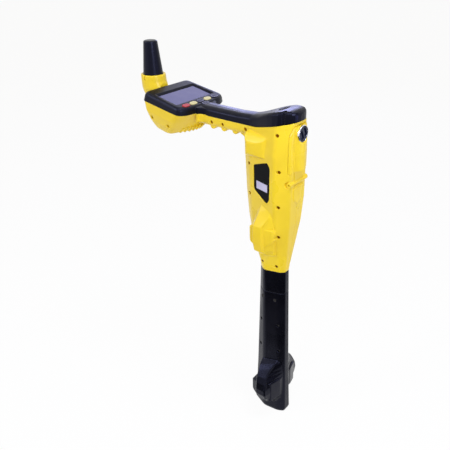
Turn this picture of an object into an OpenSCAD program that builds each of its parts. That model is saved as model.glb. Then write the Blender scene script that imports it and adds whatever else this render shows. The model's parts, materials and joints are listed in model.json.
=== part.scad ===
// Hand-held cable locator: a foot tube, a clamshell mast, a forward handle with a display head and a stub
// antenna, and a hinged battery door with a turn lock at the back.
// Millimetres. +X points forward to the display, +Y to the operator's left, +Z up. The origin is the middle
// of the sole, on the tube's axis.

/* [Foot tube] */
// Height of the foot shells, from the ground to the sleeve
foot_h = 297; // [270:1:330]
// Width of the tube across its front corners
tube_w = 42; // [39:0.5:46]
// Reach of the tube in front of its axis, at the mast
tube_front = 33; // [30:0.5:37]
// Reach of the tube behind its axis, at the mast
tube_back = 20.5; // [18:0.5:24]
// Reach of the sole in front of the tube's axis
sole_front = 46; // [42:0.5:49]
// Reach of the sole behind the tube's axis
sole_back = 28; // [25:0.5:31]
// Thickness of the wear pad under the sole
pad_t = 4; // [3:0.5:6]
// Height of the sleeve that shows between foot and mast
sleeve_h = 47; // [35:1:60]
// Length of each sleeve spigot, in the mast and in the foot
spigot_h = 28; // [22:1:34]
// Bore through the sleeve for the antenna lead
sleeve_bore_d = 14; // [10:1:16]

/* [Mast] */
// Height of the mast, from the sleeve to the handle seam
mast_h = 266; // [256:1:290]
// Greatest width of the mast
mast_w = 76; // [72:1:84]
// Reach of the mast in front of its axis
mast_front = 65; // [62:1:70]
// Reach of the mast behind its axis
mast_back = 38; // [36:1:42]

/* [Coil bulges] */
// Width over the coil bulges of the mast
bulge_w = 94; // [90:1:104]
// Width over the coil bulges of the foot
foot_bulge_w = 114; // [110:1:118]
// Height of a coil bulge
bulge_h = 110; // [100:1:116]
// Width of a bulge's raised band, front to back
band_w = 20; // [16:1:24]
// Height of the lower coil above the ground
lower_coil_z = 74; // [68:1:90]
// Height of the middle coil above the sleeve
middle_coil_rise = 82; // [78:1:90]
// Drop of the upper coil below the handle seam
upper_coil_drop = 27; // [25:1:29]
// Width over the pods of the upper coil
pod_w = 74; // [70:1:80]
// Diameter of a coil bobbin
bobbin_d = 22; // [18:0.5:24]
// Diameter of a ferrite rod
rod_d = 10; // [8:0.5:12]

/* [Handle and cover] */
// Width of the handle
handle_w = 34; // [30:1:38]
// Depth of the yellow handle half below the seam
handle_drop = 19; // [16:0.5:22]
// Height of the black handle half above the seam
handle_rise = 15.5; // [14:0.5:18]
// Radius of a finger ridge under the handle
ridge_r = 6; // [5:0.5:7]
// Spacing of the finger ridges
ridge_pitch = 24.5; // [22:0.5:26]
// Width of the cover over the loudspeaker
hump_w = 58; // [54:1:64]
// Height of the loudspeaker hump above the handle seam
hump_rise = 38.5; // [36:0.5:41]
// Rise of the seam from the handle to the back of the cover
seam_rise = 22; // [21:0.5:24]
// Diameter of the loudspeaker
speaker_d = 34; // [28:1:38]
// Number of slots over the loudspeaker
speaker_slots = 6; // [4:1:7]

/* [Display head] */
// Tilt of the display panel
panel_tilt = 10.5; // [9:0.5:12]
// Tilt of the seam under the bezel
seam_tilt = 8.5; // [7:0.5:9.5]
// Distance from the tube's axis to the middle of the panel
panel_x = 204; // [198:1:214]
// Height of the black bezel
bezel_h = 14.2; // [13:0.2:16]
// Width of the head at its back
head_back_w = 121; // [116:1:128]
// Width of the head at its front
head_front_w = 114; // [108:1:120]
// Depth of the yellow head housing below the seam
head_drop = 40; // [34:1:46]
// Thickness of the panel
panel_t = 5; // [4.75:0.25:5.5]
// Size of the display window, front to back
window_l = 43.5; // [40:0.5:45]
// Size of the display window across
window_w = 88; // [82:1:90]
// Thickness of the display window
window_t = 1.2; // [1:0.1:1.4]
// Thickness of the circuit board
board_t = 1.6; // [1:0.2:2]

/* [Keys] */
// Spacing of the keys across the panel
key_pitch = 18.3; // [18:0.1:18.6]
// Length of a key across the panel
key_l = 16; // [13:0.5:16]
// Width of a key, front to back
key_w = 10; // [8:0.5:10]
// Height of a key above the panel
key_up = 1.1; // [0.9:0.1:1.5]
// Travel of a key
key_travel = 0.8; // [0.5:0.1:1]

/* [Antenna] */
// Distance from the tube's axis to the antenna's axis
antenna_x = 283; // [280:1:290]
// Height of the radome above its collar
radome_h = 59; // [50:1:70]
// Diameter of the radome at its foot
radome_d = 36; // [32:0.5:38]
// Diameter of the radome at its top
radome_top_d = 25; // [22:0.5:28]
// Diameter of the yellow collar
collar_d = 45; // [43:0.5:48]
// Height of the collar's rim above the handle seam
collar_rise = 50; // [46:1:54]
// Depth of the socket in the collar
socket_depth = 12; // [9:0.5:15]

/* [Battery door] */
// Width of the battery door
door_w = 52; // [48:1:56]
// Height of the door's flange below the handle seam
door_drop = 63; // [60:1:64]
// Rise of the door's top above the handle seam
door_rise = 15; // [14:0.25:15.5]
// Height of the door's flange above the mast
door_proud = 1.2; // [0.8:0.1:1.6]
// Thickness of the door's flange
door_t = 4; // [3.5:0.25:4.5]
// Outer radius of the door's half-round bulge
door_bulge_r = 17.5; // [16.5:0.5:18]
// Drop of the hinge below the handle seam
hinge_drop = 82; // [80:1:84]
// Diameter of a hinge knuckle
knuckle_d = 9; // [8:0.5:10]
// Length of the whole hinge
hinge_l = 52; // [46:1:54]
// Length of the door's own knuckle
door_knuckle_l = 24; // [20:1:28]
// Diameter of the hinge pin
pin_d = 3; // [2.5:0.25:4]

/* [Lock] */
// Diameter of the lock knob
knob_d = 25; // [22:0.5:26]
// Diameter of the bright ring round the knob
ring_d = 28; // [27.5:0.25:28.5]
// Diameter of the lock shaft
lock_shaft_d = 6; // [5:0.5:7]

/* [Fits] */
// Clearance round fixed inner pieces
clear = 0.3; // [0.2:0.05:0.4]
// Clearance of a turning fit, on the radius
run_clear = 0.05; // [0.02:0.01:0.1]
// Clearance round the keys and the door
gap = 0.4; // [0.3:0.05:0.5]
// Diameter of the shell screws
screw_d = 3; // [2.5:0.25:3.5]
// Diameter of a screw head
screw_head_d = 5.6; // [5:0.2:6.4]

/* [Hidden] */
$fn = 48;
loft_steps = 4;
far = 400;

// Heights of the main joints
mast_z = foot_h + sleeve_h;
seam_z = mast_z + mast_h;
middle_coil_z = mast_z + middle_coil_rise;
upper_coil_z = seam_z - upper_coil_drop;
hinge_z = seam_z - hinge_drop;
door_z0 = seam_z - door_drop;
door_z1 = seam_z + door_rise;
lock_z = seam_z + 1;

// Fore and aft places
crease_x = -14;
coil_x = 12;
lower_coil_x = 3;
upper_coil_x = 28;
hinge_x = 2 - mast_back;
door_in_x = door_t - mast_back;
handle_x0 = mast_front - 16;
handle_x1 = panel_x - 56;
rear_x = -mast_back - 5;

yellow = "#EDD53E";
black = "#1E1E2A";

// Mixes a and b
function mix(a, b, t) = a + (b - a) * t;

// Rounds the corner p between a and c with a curve that starts r from the corner
function corner(a, p, c, r) =
  let (
    reach = min(r, norm(a - p) * 0.45, norm(c - p) * 0.45),
    m = p + (a - p) / norm(a - p) * reach, q = p + (c - p) / norm(c - p) * reach
  )
  [for (i = [0 : loft_steps])
    let (t = i / loft_steps) (1 - t) * (1 - t) * m + 2 * t * (1 - t) * p + t * t * q];

// Rounds every inner corner of an open outline, with one radius for each
function rounded_open(pts, radii) = concat(
  [pts[0]],
  [for (i = [1 : len(pts) - 2]) each corner(pts[i - 1], pts[i], pts[i + 1], radii[i - 1])],
  [pts[len(pts) - 1]]
);

// Rounds every corner of a closed outline
function rounded(pts, r) =
  let (n = len(pts))
  [for (i = [0 : n - 1]) each corner(pts[(i + n - 1) % n], pts[i], pts[(i + 1) % n], r)];

// One column of a station table, read at height z
function at(rows, i, z) = lookup(z, [for (row = rows) [row[0], row[i]]]);

// Half plan of the tube or mast at height z, drawn in by d, from the front round the left side to the back
function half_plan(rows, z, d = 0) =
  let (
    front = at(rows, 1, z) - d, front_half = at(rows, 2, z) - d / 2,
    side_x = at(rows, 3, z) - d / 2, side_half = at(rows, 4, z) - d,
    crease_half = at(rows, 5, z) - d,
    back = -at(rows, 6, z) + d, back_half = at(rows, 7, z) - d / 2
  )
  rounded_open(
    [[front, 0], [front, front_half], [side_x, side_half], [crease_x, crease_half],
     [back, back_half], [back, 0]],
    [4, 6, 5, 4]
  );

function half_ring(rows, z, d = 0) = [for (p = half_plan(rows, z, d)) [p[0], p[1], z]];

// Whole outline from its left half, without the two points on the middle plane
function whole(half) = concat(
  [for (i = [1 : len(half) - 2]) [half[i][0], half[i][1]]],
  [for (i = [len(half) - 2 : -1 : 1]) [half[i][0], -half[i][1]]]
);

// Solid between rings that each have the same number of points
module loft(rings) {
  n = len(rings[0]);
  m = len(rings);
  polyhedron(
    points = [for (r = rings) each r],
    faces = concat(
      [[for (j = [0 : n - 1]) j]],
      [[for (j = [n - 1 : -1 : 0]) (m - 1) * n + j]],
      [for (i = [0 : m - 2]) for (j = [0 : n - 1]) let (k = (j + 1) % n) each [
        [i * n + j, (i + 1) * n + j, (i + 1) * n + k], [i * n + j, (i + 1) * n + k, i * n + k]
      ]]
    )
  );
}

// Stations of the tube: height, front reach, front half width, corner x, corner half width, crease half
// width, back reach, back half width
tube_rows = [
  [pad_t / 4, sole_front - 3, 8, 17, tube_w / 2 - 2, tube_w / 2 - 5.5, sole_back - 2, 9],
  [pad_t * 1.5, sole_front, 9, 18, tube_w / 2 - 0.5, tube_w / 2 - 4.5, sole_back, 9.5],
  [foot_h * 0.4, mix(sole_front, tube_front, 0.4), 9, 18, tube_w / 2, tube_w / 2 - 7,
   mix(sole_back, tube_back, 0.4), 7],
  [mast_z, tube_front, 9, 18, tube_w / 2, tube_w / 2 - 8.5, tube_back, 6]
];

// Stations of the mast, in the same columns
mast_rows = [
  [mast_z, tube_front, 9, 18, tube_w / 2, tube_w / 2 - 8.5, tube_back, 6],
  [mast_z + 12, tube_front + 1, 9, 20, tube_w / 2 + 0.5, tube_w / 2 - 6.5, tube_back + 1.5, 7],
  [mast_z + 63, mast_front - 14, 10, 37, tube_w / 2 + 1, mast_w / 2 - 12, mast_back - 9, 14],
  [mast_z + 103, mast_front - 8, 11, 42, tube_w / 2 + 1.5, mast_w / 2 - 5, mast_back - 3.5, 19],
  [mast_z + 150, mast_front - 3.5, 11, 45, tube_w / 2 + 1.5, mast_w / 2 - 1, mast_back - 0.5, 23],
  [seam_z - 35, mast_front, 11, 47, tube_w / 2 + 1, mast_w / 2, mast_back, 24],
  [seam_z - 10, mast_front + 1, 11, 48, tube_w / 2 - 1, mast_w / 2 - 3, mast_back, 23],
  [seam_z + 8, mast_front + 1, 11, 48, tube_w / 2 - 3, hump_w / 2 + 2.5, mast_back + 1, 20],
  [seam_z + seam_rise + 6, mast_front + 1, 11, 48, tube_w / 2 - 4, hump_w / 2, mast_back + 2, 18]
];

// Seam between the yellow body and the black cover, seen from the side
head_seam_x = handle_x1 - 9;
seam_slope = tan(seam_tilt);
function seam_at(x) =
  x >= head_seam_x ? seam_z + (x - head_seam_x) * seam_slope
  : x >= handle_x0 ? seam_z
  : x >= handle_x0 - 20 ? seam_z + pow((handle_x0 - x) / 20, 2) * seam_rise * 0.12
  : seam_z + seam_rise * (0.12 + 0.88 * (handle_x0 - 20 - x) / (handle_x0 - 20 - rear_x));
cover_stations = concat(
  [for (x = [rear_x, rear_x + 1.5, rear_x + 4, rear_x + 8, rear_x + 13, rear_x + 20]) x],
  [for (i = [0 : 4]) mix(rear_x + 28, handle_x0 - 20, i / 4)],
  [for (i = [1 : 4]) handle_x0 - 20 + i * 5],
  [mix(handle_x0, head_seam_x, 0.33), mix(handle_x0, head_seam_x, 0.66), head_seam_x, handle_x1 + 2]
);

// Everything above the seam
module above_seam(lift = 0) {
  line = concat([rear_x - 30], cover_stations, [antenna_x - collar_d / 2 - 3]);
  rotate([90, 0, 0])
    linear_extrude(2 * far, center = true)
      polygon(concat(
        [for (x = line) [x, seam_at(x) + lift]],
        [[line[len(line) - 1], seam_z + far], [line[0], seam_z + far]]
      ));
}

// Frame of the display panel: x forward along the panel, y left, z out of it
panel_z = seam_at(panel_x) + bezel_h / cos(panel_tilt);
function on_panel(u, v, n) = [
  panel_x + u * cos(panel_tilt) - n * sin(panel_tilt), v, panel_z + u * sin(panel_tilt) + n * cos(panel_tilt)
];
module at_panel() {
  translate([panel_x, 0, panel_z])
    rotate([0, -panel_tilt, 0])
      children();
}

// Half outline of the head on the panel, front to back, drawn in by d
head_u0 = -49;
head_u1 = 51;
function head_plan(d) = rounded_open(
  [[head_u1 - d, 0], [head_u1 - d, head_front_w / 2 - d], [head_u0 + 10 + d, head_back_w / 2 - d],
   [head_u0 + 2 + d, 44 - d], [head_u0 - 0.5 + d, 22 - d], [head_u0 - 1 + d, 0]],
  [9, 9, 6, 4]
);

// Flare where the handle widens into the head, in plan
flare_x0 = handle_x1 - 8;
flare_l = 15;
flare_w = 9;
module flare_half_2d() {
  polygon(concat(
    [for (i = [0 : 6]) let (a = 15 * i)
      [flare_x0 + flare_l * sin(a), handle_w / 2 - 0.5 + flare_w * (1 - cos(a))]],
    [[flare_x0 + flare_l + 5, handle_w / 2 + flare_w], [flare_x0 + flare_l + 5, 8], [flare_x0, 8]]
  ));
}

// Pieces of one body half, on the +Y side
module mast_half() {
  loft([for (row = mast_rows) half_ring(mast_rows, row[0])]);
}

module handle_section_2d(drop) {
  round_r = handle_w / 2 - 6;
  translate([0, round_r - drop])
    square([handle_w / 2, drop]);
  translate([0, -drop])
    square([handle_w / 2 - round_r, drop]);
  translate([handle_w / 2 - round_r, round_r - drop])
    circle(round_r);
}

ridge_x0 = handle_x1 - 15 - 2 * ridge_pitch;
module handle_half() {
  translate([handle_x0, 0, seam_z])
    rotate([90, 0, 90])
      linear_extrude(handle_x1 + 26 - handle_x0)
        handle_section_2d(handle_drop);
  for (i = [0 : 2])
    translate([ridge_x0 + i * ridge_pitch, 0, seam_z - handle_drop + ridge_r - 4])
      rotate([-90, 0, 0])
        cylinder(r = ridge_r, h = handle_w / 2 - 5);
}

module flare_half() {
  translate([0, 0, seam_z - handle_drop + 7])
    linear_extrude(2 * handle_drop)
      flare_half_2d();
}

// Curved web where the handle meets the mast
module handle_root_half() {
  web = 16;
  translate([handle_x0 + 4, handle_w / 2 - 6, seam_z - handle_drop + 2])
    rotate([90, 0, 0])
      linear_extrude(handle_w / 2 - 6)
        difference() {
          translate([0, -web])
            square([web + 4, web]);
          translate([web + 8, -web - 4])
            circle(web + 2);
        }
}

head_bottom_z = seam_z - head_drop + 2;
// Lower back edge of the head, from the panel's middle, at half width y
function head_edge(y) = lookup(y, [[0, -26], [14, -21], [32, -8], [48, 3]]);
module head_half() {
  bottom = rounded_open(
    [[panel_x + 40, 0], [panel_x + 40, head_front_w / 2 - 14], [panel_x + 3, head_back_w / 2 - 13],
     [panel_x + head_edge(32), 32], [panel_x + head_edge(14), 14], [panel_x + head_edge(0), 0]],
    [9, 9, 6, 4]
  );
  top = [for (p = head_plan(0)) on_panel(p[0], p[1], -bezel_h + 4)];
  function ring(t) = let (s = 1 - pow(1 - t, 2.2)) [for (i = [0 : len(top) - 1])
    let (low_z = head_bottom_z + abs(bottom[i][0] - panel_x) * 0.14, e = top[i][0] > panel_x ? s : t)
    [mix(bottom[i][0], top[i][0], e), mix(bottom[i][1], top[i][1], s), mix(low_z, top[i][2], t)]];
  flat = [for (p = bottom) [mix(panel_x + 8, p[0], 0.7), p[1] * 0.7, head_bottom_z - 0.3]];
  loft(concat([flat], [for (t = [0, 0.06, 0.16, 0.32, 0.6, 1]) ring(t)]));
}

// Ridges across the lower back edge of the head
module head_ridges_half() {
  for (i = [0 : 4])
    let (y = 4 + i * 6.5)
      translate([panel_x + head_edge(y) + 1, y, head_bottom_z + 3 - i * 0.5])
        rotate([0, -48, 0])
          cylinder(d = 4, h = 15);
}

collar_top_z = seam_z + collar_rise;
// Collar on a neck that widens back into the head. Each row, from below: drop below the rim, reach to the
// front, half width and reach to the back
collar_r = collar_d / 2;
neck_root_x = panel_x + 37;
neck_l = antenna_x - neck_root_x;
neck_rows = [
  [50, collar_r - 18.5, collar_r - 14.5, neck_l], [45, collar_r - 11.5, collar_r - 9.5, neck_l - 1],
  [38, collar_r - 6, collar_r - 5, neck_l - 3], [30, collar_r - 2.5, collar_r - 2, neck_l - 7],
  [22, collar_r - 0.7, collar_r - 0.5, neck_l - 13], [12, collar_r - 0.2, collar_r - 0.2, collar_r + 2],
  [1, collar_r, collar_r, collar_r + 0.3], [0, collar_r - 0.8, collar_r - 0.8, collar_r - 0.5]
];
neck_steps = 20;
module nose_half() {
  function ring(row) = [for (i = [0 : neck_steps])
    let (a = 180 * i / neck_steps, reach = a < 90 ? row[1] : row[3], y = i % neck_steps == 0 ? 0 : sin(a))
    [antenna_x + reach * cos(a), row[2] * y, collar_top_z - row[0]]];
  loft([for (row = neck_rows) ring(row)]);
}

// Coil bulge of one side. Each row, from below: height above the coil, then x from the coil and y of the
// rear rim, of the strap's rear edge, of its front edge and of the front rim, and the row's slope along x
bulge_half_w = bulge_w / 2;
strap_front = band_w - 8;
mast_bulge_rows = [
  [-56, -10, 12, -6, 14, 4, 14, 8, 12, 0],
  [-41, -21, 25.5, -9, bulge_half_w - 16, 8, bulge_half_w - 16, 20, 22, 0],
  [-30, -22, 28, -9, bulge_half_w - 3, strap_front - 1, bulge_half_w - 2.5, 24, 25, 0],
  [-16, -23.5, 30, -8.5, bulge_half_w - 1, strap_front + 0.5, bulge_half_w - 0.5, 25, 26, 0],
  [0, -24, 32, -8, bulge_half_w - 0.5, strap_front + 1, bulge_half_w, 25, 27, 0],
  [19, -24, 33.5, -8, bulge_half_w - 1.5, strap_front, bulge_half_w - 1, 22, 27, 0],
  [41, -21, 34, -17, 36.5, 6, 36, 12, 27, 0.25],
  [62, -20, 29, -18.5, 30, 3, 26, 5, 24, 0.45]
];
foot_half_w = foot_bulge_w / 2;
foot_bulge_rows = [
  [-54, -14, 12, -8, 12, 6, 12, 12, 12, 0],
  [-44, -21, 12, -12, 24, strap_front - 5, 24, 16, 13, 0],
  [-34, -24, 11.5, -13.5, foot_half_w - 25, strap_front - 4, foot_half_w - 25, 19, 13, 0],
  [-24, -25, 11, -14, foot_half_w - 12, strap_front - 3, foot_half_w - 12, 22, 13, 0],
  [-14, -25.5, 10.5, -14.5, foot_half_w - 3.5, strap_front - 2, foot_half_w - 3.5, 24, 13, 0],
  [-3, -26, 10, -14.5, foot_half_w, strap_front - 2, foot_half_w, 25, 12.5, 0],
  [8, -26, 10, -13.5, foot_half_w - 1, strap_front - 2, foot_half_w - 0.5, 25, 13, 0],
  [20, -25.5, 10, -11.5, foot_half_w - 5.5, strap_front - 0.5, foot_half_w - 4, 24, 13, 0],
  [32, -25, 10, -9, foot_half_w - 11, strap_front + 1.5, foot_half_w - 9.5, 22, 14, 0],
  [40, -24, 10.5, -9.5, foot_half_w - 18, strap_front + 3, foot_half_w - 16, 20, 15, 0],
  [50, -23, 11, -12.5, foot_half_w - 27, strap_front + 5, foot_half_w - 25, 19, 15.5, 0],
  [58, -22, 10, -15.5, 21, strap_front + 5.5, 21, 18.5, 15, 0],
  [64, -21, 6, -17, 12, strap_front + 3, 12, 16, 8, 0]
];
function bulge_ring(row, x, coil_z) =
  let (
    rise = row[0] * bulge_h / 110,
    step_r = max(0.2, min(4, 0.3 * (row[4] - row[2]))), step_f = max(0.2, min(4, 0.3 * (row[6] - row[8]))),
    edge = [
      [row[7], 0], [row[7], row[8]], [row[5], row[6] - step_f], [row[5], row[6] - step_f * 0.6],
      [row[5] - step_f * 0.6, row[6]], [row[3] + step_r * 0.6, row[4]], [row[3], row[4] - step_r * 0.6],
      [row[3], row[4] - step_r], [row[1], row[2]], [row[1], 0]
    ]
  )
  [for (p = edge) [x + p[0], p[1], coil_z + rise + row[9] * p[0]]];

// Hub block through the bulge: its plan from front to back, met by its outline seen from the side
module hub_half(x, coil_z, plan, side) {
  intersection() {
    translate([x, 0, 0])
      linear_extrude(2 * far)
        polygon(plan);
    translate([x, 0, coil_z])
      rotate([90, 0, 0])
        linear_extrude(2 * far, center = true)
          polygon(rounded(side, 3));
  }
}

module mast_bulge_half() {
  loft([for (row = mast_bulge_rows) bulge_ring(row, coil_x, middle_coil_z)]);
  y = bulge_half_w - 7;
  hub_half(
    coil_x, middle_coil_z,
    [[24.5, 0], [24.5, y - 3], [20, y + 1], [-8, y + 1], [-25, y - 2], [-27, y - 5], [-27, 0]],
    [[-27, -6], [-27, 15], [20, 15], [24.5, 10], [24.5, -14], [10, -24], [-9, -21]]
  );
}

module foot_bulge_half() {
  loft([for (row = foot_bulge_rows) bulge_ring(row, lower_coil_x, lower_coil_z)]);
  y = foot_half_w - 11;
  hub_half(
    lower_coil_x, lower_coil_z,
    [[32, 0], [32, y - 11], [29, y - 7], [12, y - 1], [-13, y - 2], [-18.5, y - 5], [-25, 19], [-25.5, 0]],
    [[-30, -8], [-30, 23], [28, 10], [32, 6], [32, -12], [26, -20], [4, -26], [-12, -29], [-24, -22]]
  );
}

// Pod of the upper coil: a rounded box that fades into the mast behind
module upper_pod_half() {
  half = pod_w / 2;
  intersection() {
    translate([-far / 2, 0, upper_coil_z])
      rotate([90, 0, 90])
        linear_extrude(far)
          polygon(rounded(
            [[0, -19], [half - 7, -19], [half, -13], [half, 8], [half - 8, 20], [0, 26]], 3
          ));
    linear_extrude(2 * far)
      polygon(rounded(
        [[upper_coil_x + 23, 0], [upper_coil_x + 20, half - 5], [upper_coil_x + 14, half],
         [upper_coil_x - 2, half], [upper_coil_x - 18, half - 2.5], [upper_coil_x - 26, 28],
         [upper_coil_x - 26, 0]], 4
      ));
  }
}

// Bores and pockets that both body halves share
module coil_tunnel(x, z, reach) {
  translate([x, 0, z])
    rotate([90, 0, 0])
      cylinder(d = bobbin_d + 2 * run_clear, h = 2 * (reach + clear), center = true);
}

lower_coil_l = bulge_w - 14;
upper_coil_l = pod_w - 18;

// Door outline seen from behind, grown by g
function door_outline(g) = rounded(
  [[-door_w / 2 - g, door_z0 - g], [door_w / 2 + g, door_z0 - g], [door_w / 2 + g, seam_z - 7 + g / 2],
   [17 + g, door_z1 + g], [-17 - g, door_z1 + g], [-door_w / 2 - g, seam_z - 7 + g / 2]], 3
);
module door_prism(g, x0, x1) {
  translate([x0, 0, 0])
    rotate([90, 0, 90])
      linear_extrude(x1 - x0)
        polygon(door_outline(g));
}

// Battery pack and its bay
pack_z0 = seam_z - 54;
pack_z1 = lock_z - ring_d / 2 - 7;
pack_half = door_w / 2 - 5;
pack_x1 = 8;
pack_r = door_bulge_r - 3.5;
pack_room = 0.8;
bulge_x = 7 - mast_back;
contact_t = 1;
module battery_space() {
  translate([door_in_x - 1, -pack_half - clear, pack_z0])
    cube([pack_x1 + contact_t - door_in_x + 1, 2 * (pack_half + clear), pack_z1 - pack_z0 + clear]);
}

// Frame round the bay, seen from behind, for the seal and its groove
seal_w = 2;
seal_t = 1.5;
seal_out = 1.4;
seal_fit = 0.2;
seal_lift = 0.1;
module seal_window(grow) {
  translate([-pack_half - grow, pack_z0 - grow])
    square([2 * (pack_half + grow), pack_z1 - pack_z0 + 2 * grow]);
}
module seal_frame(g, x0, x1) {
  translate([x0, 0, 0])
    rotate([90, 0, 90])
      linear_extrude(x1 - x0)
        difference() {
          seal_window(seal_out + seal_w + g);
          seal_window(seal_out - g);
        }
}

// Room for the cam to swing in, from beside the lock to above it
cam_t = 2.5;
cam_half_w = 4;
cam_bite = 1.6;
cam_tip = door_z1 + gap + cam_bite - lock_z;
cam_sweep = norm([cam_tip, cam_half_w]) + gap;
cam_hub_d = lock_shaft_d + 5;
module cam_space() {
  intersection() {
    translate([door_in_x - 1, 0, lock_z])
      rotate([0, 90, 0])
        cylinder(r = cam_sweep, h = cam_t + 2 * gap + 1);
    translate([-far / 2, -far / 2, lock_z - cam_hub_d / 2 - gap])
      cube(far);
  }
}

knuckle_half = door_knuckle_l / 2;
module hinge_relief() {
  translate([hinge_x, 0, hinge_z])
    rotate([90, 0, 0])
      cylinder(d = knuckle_d + 2 * gap + 1.2, h = door_knuckle_l + 2 * gap, center = true);
  translate([-mast_back - 20, -knuckle_half - gap, hinge_z])
    cube([door_in_x + mast_back + 20 + gap, door_knuckle_l + 2 * gap, door_z0 - hinge_z + 1]);
}

module body_knuckle_half() {
  translate([hinge_x, knuckle_half + gap, hinge_z])
    rotate([-90, 0, 0])
      cylinder(d = knuckle_d, h = hinge_l / 2 - knuckle_half - gap);
}

// Raised tongue under the hinge
module knuckle_relief_half() {
  translate([hinge_x, hinge_l / 2 - 2.2, hinge_z])
    rotate([-90, 0, 0])
      cylinder(d = knuckle_d + 4, h = 20);
}

module tongue_half() {
  tongue_half_w = 14;
  tongue_h = 38;
  translate([4 - mast_back, 0, 0])
    rotate([90, 0, -90])
      linear_extrude(5)
        intersection() {
          union() {
            translate([0, hinge_z - tongue_h + tongue_half_w])
              circle(tongue_half_w);
            translate([-tongue_half_w, hinge_z - tongue_h + tongue_half_w])
              square([2 * tongue_half_w, tongue_h - tongue_half_w - knuckle_d]);
          }
          translate([-2 * tongue_half_w, hinge_z - 2 * tongue_h])
            square([2 * tongue_half_w, 4 * tongue_h]);
        }
}

// Half width of a plan at x, and of the sleeve's spigot there
spigot_wall = 4;
function side_at(rows, x, z) = lookup(x, half_plan(rows, z));
function spigot_at(x) =
  let (plan = half_plan(tube_rows, mast_z, spigot_wall - clear))
  max([for (e = [-0.5, 0, 0.5]) lookup(x + e * screw_head_d, plan)]) + 0.6;

// Screw places: x, z, and the half width at which the head sits
head_sink = 5;
function shell_screw(x, z) = [x, z, side_at(mast_rows, x, z) - head_sink];
function foot_screw(x, z) = [x, z, side_at(tube_rows, x, z) - head_sink];
shell_screw_places = [
  [21, mast_z + 17, spigot_at(21)], [-7, mast_z + 13, spigot_at(-7)],
  shell_screw(-17, middle_coil_z), shell_screw(-20, seam_z - 124), shell_screw(47, seam_z - 119),
  shell_screw(48, seam_z - 64), shell_screw(-21, seam_z - 60), shell_screw(-16, seam_z)
];
handle_seat = handle_w / 2 - head_sink;
handle_screw_places = [
  [handle_x0 + 9, seam_z - 8, handle_seat], [ridge_x0 + ridge_pitch - 1, seam_z - 9.5, handle_seat],
  [ridge_x0 + 2 * ridge_pitch - 1, seam_z - 9.5, handle_seat],
  [panel_x - 4, seam_z - 20, head_back_w / 2 - 21], [panel_x + 36, seam_z - 12, head_front_w / 2 - 15]
];
foot_screw_places = [
  [-4, foot_h - 17, spigot_at(-4)], foot_screw(-10, foot_h - 75), foot_screw(-13, foot_h - 137),
  [21, foot_h - 14, spigot_at(21)], foot_screw(26, foot_h - 71), foot_screw(28, foot_h - 134)
];
screw_reach = 9;
screw_head_h = 2.4;

module screws(places) {
  for (p = places)
    translate([p[0], p[2], p[1]])
      rotate([90, 0, 0]) {
        cylinder(d = screw_d, h = p[2] + screw_reach);
        translate([0, 0, -screw_head_h])
          difference() {
            cylinder(d = screw_head_d, h = screw_head_h);
            translate([0, 0, -0.1])
              cylinder(d = screw_d * 0.75, h = screw_head_h / 2, $fn = 6);
          }
      }
}

module screw_holes(places, side) {
  for (p = places)
    translate([p[0], 0, p[1]])
      rotate([-90, 0, 0]) {
        if (side < 0)
          translate([0, 0, -screw_reach - 1])
            cylinder(d = screw_d + 2 * run_clear, h = screw_reach + 2);
        if (side > 0)
          translate([0, 0, -1])
            cylinder(d = screw_d + 2 * clear, h = p[2] + 2);
        if (side > 0)
          translate([0, 0, p[2]])
            cylinder(d = screw_head_d + 2 * clear, h = far);
      }
}

// Label plate on the flat left face
label_yaw = atan((mast_w / 2 - 0.7 - tube_w / 2 - 1.3) / (45.5 - crease_x));
label_x = 15;
label_y = tube_w / 2 + 1.3 + (45.5 - label_x) * tan(label_yaw);
label_z = seam_z - 86;
label_t = 1;
label_sink = 1.4;
label_rim_w = 1.6;
label_rim_h = 0.6;
function label_outline(g) = rounded(
  [[20.5 + g, 24 + g * 0.6], [-1, 32 + g], [-14 - g, 37 + g], [-20.5 - g, 30 + g], [-19.5 - g, -26 - g],
   [-14 - g, -35.5 - g], [-9 + g * 0.5, -35.5 - g], [19 + g, -21 - g * 0.6], [20.5 + g, -17 - g * 0.6]], 3
);
module at_label() {
  translate([label_x, label_y, label_z])
    rotate([0, 0, -label_yaw])
      rotate([90, 0, 0])
        children();
}
module label_prism(g, depth0, depth1) {
  at_label()
    translate([0, 0, depth0])
      linear_extrude(depth1 - depth0)
        polygon(label_outline(g));
}

module body_half(side) {
  difference() {
    union() {
      difference() {
        union() {
          mast_half();
          handle_half();
          flare_half();
          handle_root_half();
          head_half();
          head_ridges_half();
          mast_bulge_half();
          upper_pod_half();
        }
        above_seam();
        knuckle_relief_half();
      }
      nose_half();
      if (side > 0)
        label_prism(clear + label_rim_w, -label_rim_h, label_sink);
      tongue_half();
      body_knuckle_half();
    }
    // Below the parting plane, and where the cover's front edge sits
    translate([-far, -far, -far])
      cube([2 * far, far, 4 * far]);
    intersection() {
      above_seam();
      translate([panel_x, -far, 0])
        cube([antenna_x - collar_d / 2 - 3 - panel_x, 2 * far, 2 * far]);
    }
    // Sleeve socket, coil tunnels and the antenna's socket
    loft([for (z = [mast_z - 1, mast_z + spigot_h + clear]) half_ring_low(z, spigot_wall - clear)]);
    coil_tunnel(coil_x, middle_coil_z, lower_coil_l / 2);
    coil_tunnel(upper_coil_x, upper_coil_z, upper_coil_l / 2);
    translate([antenna_x, 0, collar_top_z - socket_depth])
      cylinder(d = radome_d + 2 * clear, h = far);
    translate([antenna_x - 1, 0, collar_top_z - 9])
      cube([2, far, 10]);
    // Battery bay, door opening, cam space and hinge
    door_prism(gap, -mast_back - 30, door_in_x + gap);
    battery_space();
    seal_frame(seal_fit, door_in_x, door_in_x + seal_t + seal_lift);
    cam_space();
    hinge_relief();
    translate([hinge_x, 0, hinge_z])
      rotate([90, 0, 0])
        cylinder(d = pin_d + 2 * run_clear, h = hinge_l + 4, center = true);
  }
}

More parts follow.
